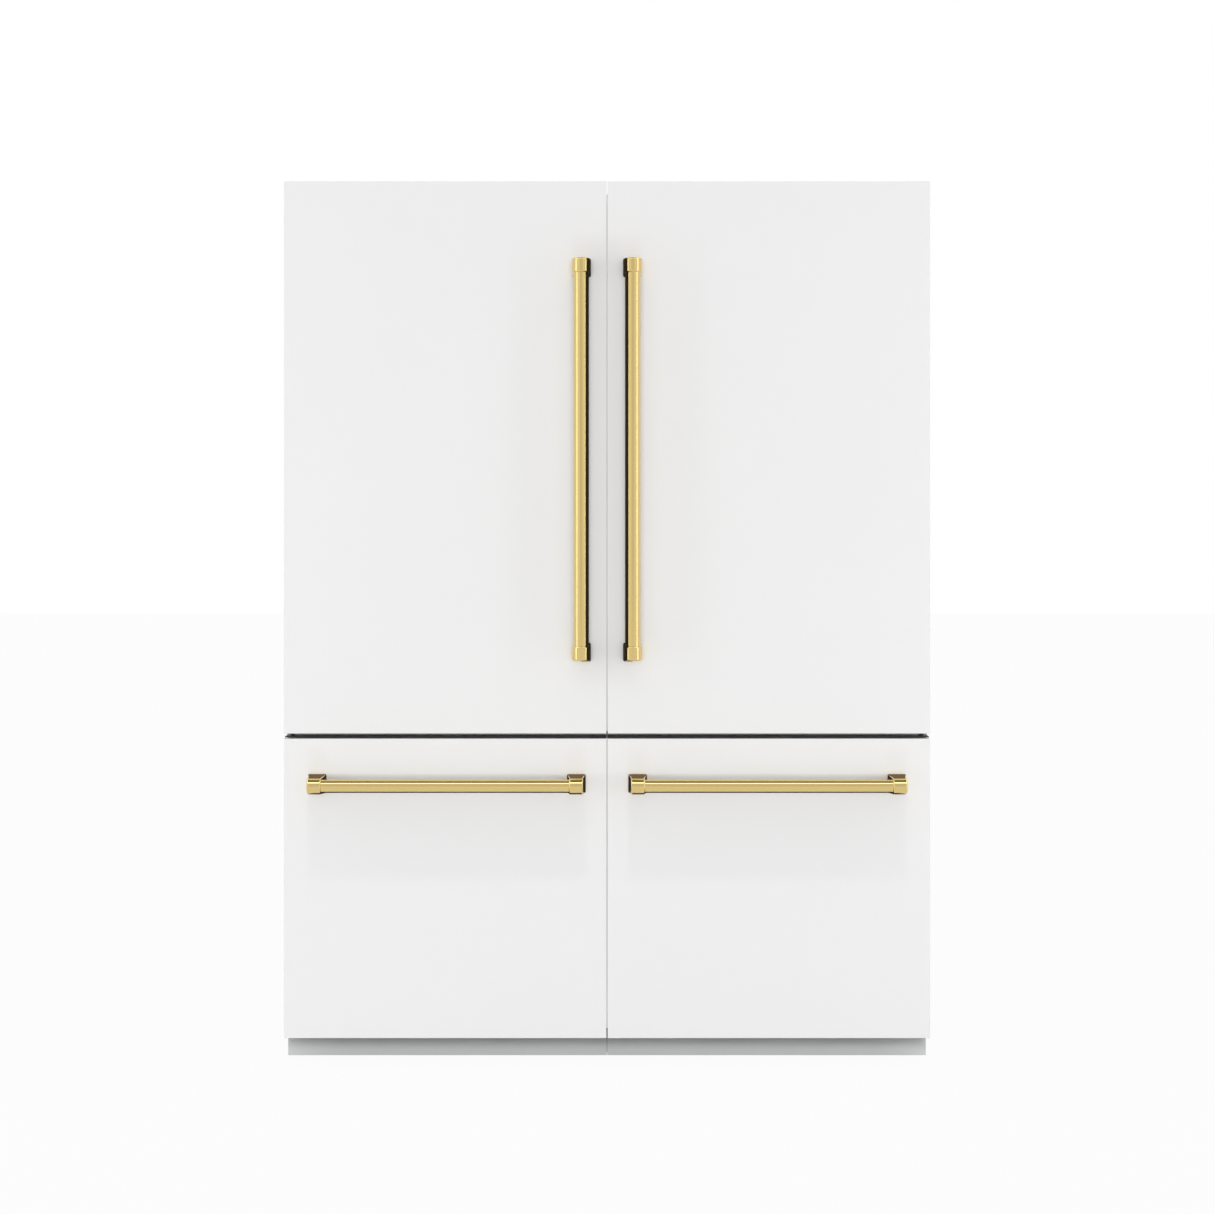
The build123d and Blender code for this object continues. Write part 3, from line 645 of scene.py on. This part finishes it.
def makeTrim(name, low, high, outward, body):
    # low and high: the rim's front edge; outward: the way it faces along y
    face = high.y if outward > 0 else low.y
    ends = sorted((face, face + outward * trim["thickness"]))
    piece = addBlock(
        name,
        (low.x + trim["endGap"], ends[0], high.z - trim["height"]),
        (high.x - trim["endGap"], ends[1], high.z),
    )
    bpy.ops.object.mode_set(mode="EDIT")
    pick(piece, "faces", facing(2, 1))
    bpy.ops.mesh.extrude_region_move(
        TRANSFORM_OT_translate={"value": (0, 0, trim["lipThickness"])}
    )
    pick(piece, "faces", lambda f: facing(1, -outward)(f) and f.calc_center_median().z > high.z)
    bpy.ops.mesh.extrude_region_move(
        TRANSFORM_OT_translate={"value": (0, -outward * trim["lip"], 0)}
    )
    tidyNormals()
    bpy.ops.object.mode_set(mode="OBJECT")
    applyModifier(piece, "BEVEL", width=trim["rounding"], segments=2, limit_method="ANGLE")
    smooth(piece)
    dress(piece, "trim_steel", body)
    return piece


flatPatch = {"flat": 0.0001, "span": 0.55, "near": 0.001}


def patches(node, axis):
    # flat patches square to an axis that span nearly a whole unit's width, as (low, high)
    mesh = bmesh.new()
    mesh.from_mesh(nodes[node].data)
    place = nodes[node].matrix_world
    left = set(mesh.verts)
    found = []
    while left:
        reached = {left.pop()}
        front = list(reached)
        while front:
            for edge in front.pop().link_edges:
                fresh = {vert for vert in edge.verts if vert in left}
                left -= fresh
                reached |= fresh
                front.extend(fresh)
        spots = [place @ vert.co for vert in reached]
        low = Vector([min(spot[i] for spot in spots) for i in range(3)])
        high = Vector([max(spot[i] for spot in spots) for i in range(3)])
        if high[axis] - low[axis] < flatPatch["flat"] and high.x - low.x > flatPatch["span"]:
            found.append((low, high))
    mesh.free()
    return sorted(found, key=lambda ends: (ends[0][axis], ends[0].x))


for side in sides:
    rims = patches("door_bins_" + side, 2)[1::2]  # each bin's floor, then its rim
    for index, (low, high) in enumerate(rims):
        makeTrim(f"binTrim_{side}_{index}", low, high, 1, side + "_door")
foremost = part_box("shelf_frames")[0].y + flatPatch["near"]
shelfFronts = [ends for ends in patches("shelf_frames", 1) if ends[0].y < foremost]
shelfTops = patches("shelf_frames", 2)
for index, (low, high) in enumerate(shelfFronts):
    above = min(top[1].z for top in shelfTops if top[1].z > high.z)
    makeTrim(f"shelfTrim_{index}", low, Vector((high.x, high.y, above)), -1, "cabinet")
print("trims made", len(shelfFronts))

# where the two units meet: a thin black foam strip between the cases, whose black also paints the seam
# dark as shade, and a joiner between the rails
join = {
    "stripThickness": 0.001,
    "stripDepth": 0.014,
    "setBack": 0.003,  # behind the front edge of the cases
    "endGap": 0.004,
    "joinerInset": 0.0006,  # the joiner stands a little behind the rails
    "rounding": 0.0002,
}


def makeJoin():
    half = join["stripThickness"] / 2
    low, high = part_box("outer_cases")
    front = low.y + join["setBack"]
    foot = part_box("toe_kicks")[0].z
    strip = addBlock(
        "unitStrip",
        (-half, front, foot + join["endGap"]),
        (half, front + join["stripDepth"], high.z - join["endGap"]),
    )
    applyModifier(strip, "BEVEL", width=join["rounding"], segments=1, limit_method="ANGLE")
    # the strip's black stands in for the shade deep in the seam
    dress(strip, "gland_rubber", "cabinet")
    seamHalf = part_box("door_panel_right")[0].x
    low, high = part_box("mid_rails")
    joiner = addBlock(
        "railJoiner",
        (-seamHalf, low.y + join["joinerInset"], low.z),
        (seamHalf, high.y, high.z),
    )
    applyModifier(joiner, "BEVEL", width=join["rounding"], segments=1, limit_method="ANGLE")
    dress(joiner, "rail_grey", "cabinet")


makeJoin()
print("units joined")

# pan-head screws on the rear covers
screw = {
    "radius": 0.0042,
    "head": 0.0016,
    "dome": 0.0005,
    "domeInset": 0.0013,
    "socket": 0.0011,
    "rounding": 0.0003,
    "coverInset": 0.011,  # from the cover's edges
    "vertices": 24,
}
screwZinc = {
    "colour": (0.72, 0.72, 0.70), "second": (0.55, 0.55, 0.54), "rough": 0.3, "spread": 0.25,
    "grain": 2500.0, "patch": 200.0, "amount": 0.6, "bump": 0.15, "depth": 0.00005,
    "wearAndHighlightColour": (0.85, 0.85, 0.85), "wearAndHighlightWidth": 0.0004, "sockets": {"Metallic": 1.0},
}
finishes["screw_zinc"] = makeFinish("screw_zinc_finish", screwZinc)


def makeScrew(name, turn):
    # modelled once at the origin, its head along +z, then turned
    clearSelection()
    bpy.ops.mesh.primitive_cylinder_add(
        vertices=screw["vertices"],
        radius=screw["radius"],
        depth=screw["head"],
        location=(0, 0, screw["head"] / 2),
    )
    piece = nameIt(name)
    settle()
    bpy.ops.object.mode_set(mode="EDIT")
    pick(piece, "faces", facing(2, 1))
    bpy.ops.mesh.inset(thickness=screw["domeInset"])
    bpy.ops.transform.translate(value=(0, 0, screw["dome"]))
    bpy.ops.mesh.inset(thickness=screw["socket"])
    bpy.ops.mesh.extrude_region_move(
        TRANSFORM_OT_translate={"value": (0, 0, -screw["head"])}
    )
    tidyNormals()
    bpy.ops.object.mode_set(mode="OBJECT")
    applyModifier(piece, "BEVEL", width=screw["rounding"], segments=1, limit_method="ANGLE")
    smooth(piece)
    piece.rotation_euler = turn
    clearSelection()
    piece.select_set(True)
    bpy.context.view_layer.objects.active = piece
    settle()
    return piece


def placeScrews(name, turn, spots):
    first = makeScrew(name + "_0", turn)
    copies = [copyTo(first, f"{name}_{index + 1}", spot) for index, spot in enumerate(spots)]
    bpy.data.objects.remove(first)
    for piece in copies:
        dress(piece, "screw_zinc", "cabinet")


coverSpots = []
for low, high in patches("machine_covers", 1):
    if high.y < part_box("machine_covers")[1].y - flatPatch["near"]:
        continue  # the cover's inner face
    inset = screw["coverInset"]
    for x in (low.x + inset, (low.x + high.x) / 2, high.x - inset):
        coverSpots += [Vector((x, high.y, low.z + inset)), Vector((x, high.y, high.z - inset))]
placeScrews("coverScrew", (-math.pi / 2, 0, 0), coverSpots)
print("screws on the covers", len(coverSpots))

# studio: pale floor, soft light all round, and cards that only reflections or shadows see
studio = {
    "floorSize": 60.0,
    "backdrop": (1.0, 1.0, 1.0, 1.0),
    "floorSeen": 0.95,  # share of plain white in the floor as seen, and as mirrored
    "floorMirrored": 0.7,
    "fill": (0.5, 0.5, 0.5, 1.0),  # even light from all round
    "skyStops": (  # what polished metal mirrors, from straight ahead to straight up
        (0.0, 0.92), (0.5, 0.9), (0.66, 0.9), (0.72, 3.0), (0.82, 3.0), (0.89, 0.25), (1.0, 0.2),
    ),
    "skyTop": 3.2,  # the brightest the sky stops may be
    "sideRange": (0.2, 0.5),  # how far aside, from straight behind, the share rises to all
    "skyBehind": 0.8,  # share left behind the camera, which darkens the middle of a bar
    "overhead": 0.5,
    "overheadSpread": 70.0,
    "front": 1.4,
    "frontSpread": 22.0,
    "frontPlace": (0.0, -4.0, 0.0),
    "stripPower": 5.5,
    "stripSize": (0.24, 2.6),
    "stripPlace": (2.3, -1.38, 1.25),
    "cardGap": 0.002,
    "cardDark": (0.03, 0.03, 0.03),
    "cardMiddle": (0.2, 0.14, 0.085),
    "finDepth": 0.092,
    "cardDrop": 0.2,
    "cardReach": 0.05,  # past the ends of the door handles
    "cardRaise": 0.06,  # past the tops of the drawer handles
    "cardLap": 0.01,
    "seamClear": 0.004,
    "finPlace": 0.001,
    "flagDrop": 0.03,  # how far the toe-kick's flag hangs below the drawers
    "flagPaint": 0.02,
}


floorPaint = {
    "colour": (0.7, 0.7, 0.7), "second": (0.69, 0.69, 0.695), "rough": 0.7,
    "grain": 60.0, "patch": 0.6, "bump": 0.02, "depth": 0.0002,
}


def makeCard(low, high, shade):
    # a flat card that only reflections see, to give the polished handles their dark lines
    clearSelection()
    low, high = Vector(low), Vector(high)
    size = high - low
    upright = size.y > size.x
    bpy.ops.mesh.primitive_plane_add(
        size=1,
        location=(low + high) / 2,
        rotation=(0, math.pi / 2, 0) if upright else (math.pi / 2, 0, 0),
    )
    card = nameIt("shadeCard")
    card.scale = (size.z, size.y, 1) if upright else (size.x, size.z, 1)
    settle()
    paint = bpy.data.materials.new("cardPaint")
    paint.use_nodes = True
    shader = paint.node_tree.nodes["Principled BSDF"]
    shader.inputs["Base Color"].default_value = (0, 0, 0, 1)
    shader.inputs["Specular IOR Level"].default_value = 0.0
    shader.inputs["Emission Color"].default_value = opaque(shade)
    shader.inputs["Emission Strength"].default_value = 1.0
    card.data.materials.append(paint)
    card.visible_camera = False
    card.visible_diffuse = False
    card.visible_transmission = False
    card.visible_shadow = False


def makeCards():
    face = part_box("door_panel_right")[0].y - studio["cardGap"]
    for side in sides:
        sign = 1 if side == "right" else -1
        low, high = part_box("door_handle_posts_" + side)
        inner, outer = sorted((abs(low.x), abs(high.x)))
        middle = (inner + outer) / 2
        reach = (low.z - studio["cardReach"], high.z + studio["cardReach"])
        seamSide = sign * studio["seamClear"]
        across = sorted((seamSide, sign * middle))
        makeCard((across[0], face, reach[0]), (across[1], face, reach[1]), studio["cardDark"])
        across = sorted((sign * middle, sign * outer))
        bottom = high.z - studio["cardLap"]
        makeCard((across[0], face, bottom), (across[1], face, reach[1]), studio["cardMiddle"])
        edge = sign * studio["finPlace"]
        makeCard((edge, face - studio["finDepth"], reach[0]), (edge, face, reach[1]), studio["cardDark"])
        low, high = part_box("drawer_handle_posts_" + side)
        middle = (low.z + high.z) / 2
        post = high.z - low.z
        seamEnd = min(abs(low.x), abs(high.x))
        across = sorted((seamSide, sign * seamEnd))
        makeCard((across[0], face, low.z), (across[1], face, high.z), studio["cardDark"])
        bottom = low.z - studio["cardDrop"]
        makeCard((low.x, face, bottom), (high.x, face, middle), studio["cardDark"])
        for end, inward in ((low.x, 1), (high.x, -1)):
            across = sorted((end, end + inward * post))
            top = high.z + studio["cardRaise"]
            makeCard((across[0], face, middle), (across[1], face, top), studio["cardMiddle"])
            across = sorted((end + inward * post, end + inward * (post + studio["cardReach"])))
            makeCard((across[0], face, middle), (across[1], face, high.z), studio["cardDark"])


def makeFlag():
    # a card that cuts the light off the top of the toe-kick
    low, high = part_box("toe_kicks")
    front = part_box("drawer_panel_right")[0]
    clearSelection()
    bpy.ops.mesh.primitive_plane_add(
        size=1, location=(0, front.y, front.z - studio["flagDrop"] / 2), rotation=(math.pi / 2, 0, 0)
    )
    flag = nameIt("toeFlag")
    flag.scale = (high.x - low.x, studio["flagDrop"], 1)
    settle()
    paint = bpy.data.materials.new("flagPaint")
    paint.use_nodes = True
    level = studio["flagPaint"]
    paint.node_tree.nodes["Principled BSDF"].inputs["Base Color"].default_value = (level, level, level, 1)
    flag.data.materials.append(paint)
    flag.visible_camera = False
    flag.visible_glossy = False
    flag.visible_transmission = False


def makeWorld():
    world = bpy.data.worlds.new("studioWorld")
    world.use_nodes = True
    tree = world.node_tree
    fill = tree.nodes["Background"]
    fill.inputs["Color"].default_value = studio["fill"]
    spot = addNode(tree, "TexCoord").outputs["Generated"]
    axes = addNode(tree, "SeparateXYZ", {0: spot}).outputs
    sky = addNode(tree, "ValToRGB", {0: axes[2]})
    stops = sky.color_ramp.elements
    while len(stops) < len(studio["skyStops"]):
        stops.new(0.5)
    for stop, (place, shade) in zip(stops, studio["skyStops"]):
        stop.position = place
        level = shade / studio["skyTop"]
        stop.color = (level, level, level, 1)
    aside = math2(tree, "ABSOLUTE", axes[0], 0.0)
    share = addNode(tree, "MapRange", {
        "Value": aside,
        "From Min": studio["sideRange"][0],
        "From Max": studio["sideRange"][1],
        "To Min": studio["skyBehind"],
    }).outputs[0]
    power = math2(tree, "MULTIPLY", share, studio["skyTop"])
    mirrored = addNode(tree, "Background", {"Color": sky.outputs[0], "Strength": power})
    seen = addNode(tree, "Background", {"Color": studio["backdrop"]})
    path = addNode(tree, "LightPath").outputs
    lit = addNode(tree, "MixShader", {
        0: path["Is Glossy Ray"], 1: fill.outputs[0], 2: mirrored.outputs[0],
    })
    both = addNode(tree, "MixShader", {
        0: path["Is Camera Ray"], 1: lit.outputs[0], 2: seen.outputs[0],
    })
    tree.links.new(both.outputs[0], tree.nodes["World Output"].inputs["Surface"])
    bpy.context.scene.world = world


def makeLamp(name, kind, power, place, aim, **settings):
    data = bpy.data.lights.new(name, kind)
    data.energy = power
    for key, value in settings.items():
        setattr(data, key, value)
    lamp = bpy.data.objects.new(name, data)
    lamp.location = place
    lamp.rotation_euler = (Vector(aim) - Vector(place)).to_track_quat("-Z", "Y").to_euler()
    bpy.context.scene.collection.objects.link(lamp)
    return lamp


def liftFloor(tree):
    # the floor is seen nearly as white as the backdrop, and its shadows stay faint
    glow = addNode(tree, "Emission", {"Color": studio["backdrop"], "Strength": 1.0})
    path = addNode(tree, "LightPath").outputs
    seen = math2(tree, "MULTIPLY", path["Is Camera Ray"], studio["floorSeen"])
    mirrored = math2(tree, "MULTIPLY", path["Is Glossy Ray"], studio["floorMirrored"])
    share = math2(tree, "ADD", seen, mirrored)
    mixed = addNode(tree, "MixShader", {
        0: share, 1: tree.nodes["Principled BSDF"].outputs[0], 2: glow.outputs[0],
    })
    tree.links.new(mixed.outputs[0], tree.nodes["Material Output"].inputs["Surface"])


def makeStudio():
    clearSelection()
    bpy.ops.mesh.primitive_plane_add(size=studio["floorSize"], location=(0, 0, 0))
    floor = nameIt("studioFloor")
    floor.data.materials.append(makeFinish("floor_finish", floorPaint))
    liftFloor(floor.data.materials[0].node_tree)
    floor.visible_shadow = False
    makeWorld()
    overhead = makeLamp(
        "overhead", "SUN", studio["overhead"], (0, 0, 4), (0, 0, 0),
        angle=math.radians(studio["overheadSpread"]),
    )
    front = makeLamp(
        "frontFill", "SUN", studio["front"], studio["frontPlace"], (0, 0, 0),
        angle=math.radians(studio["frontSpread"]),
    )
    for lamp in (overhead, front):
        lamp.visible_glossy = False
    reach, ahead, height = studio["stripPlace"]
    for side in (1, -1):
        makeLamp(
            "stripLight", "AREA", studio["stripPower"], (side * reach, ahead, height),
            (0, -0.3, height), shape="RECTANGLE",
            size=studio["stripSize"][0], size_y=studio["stripSize"][1],
        )
    makeCards()
    makeFlag()
    bpy.context.scene.view_settings.view_transform = "Standard"
    bpy.context.scene.view_settings.look = "None"


makeStudio()
print("studio lit")
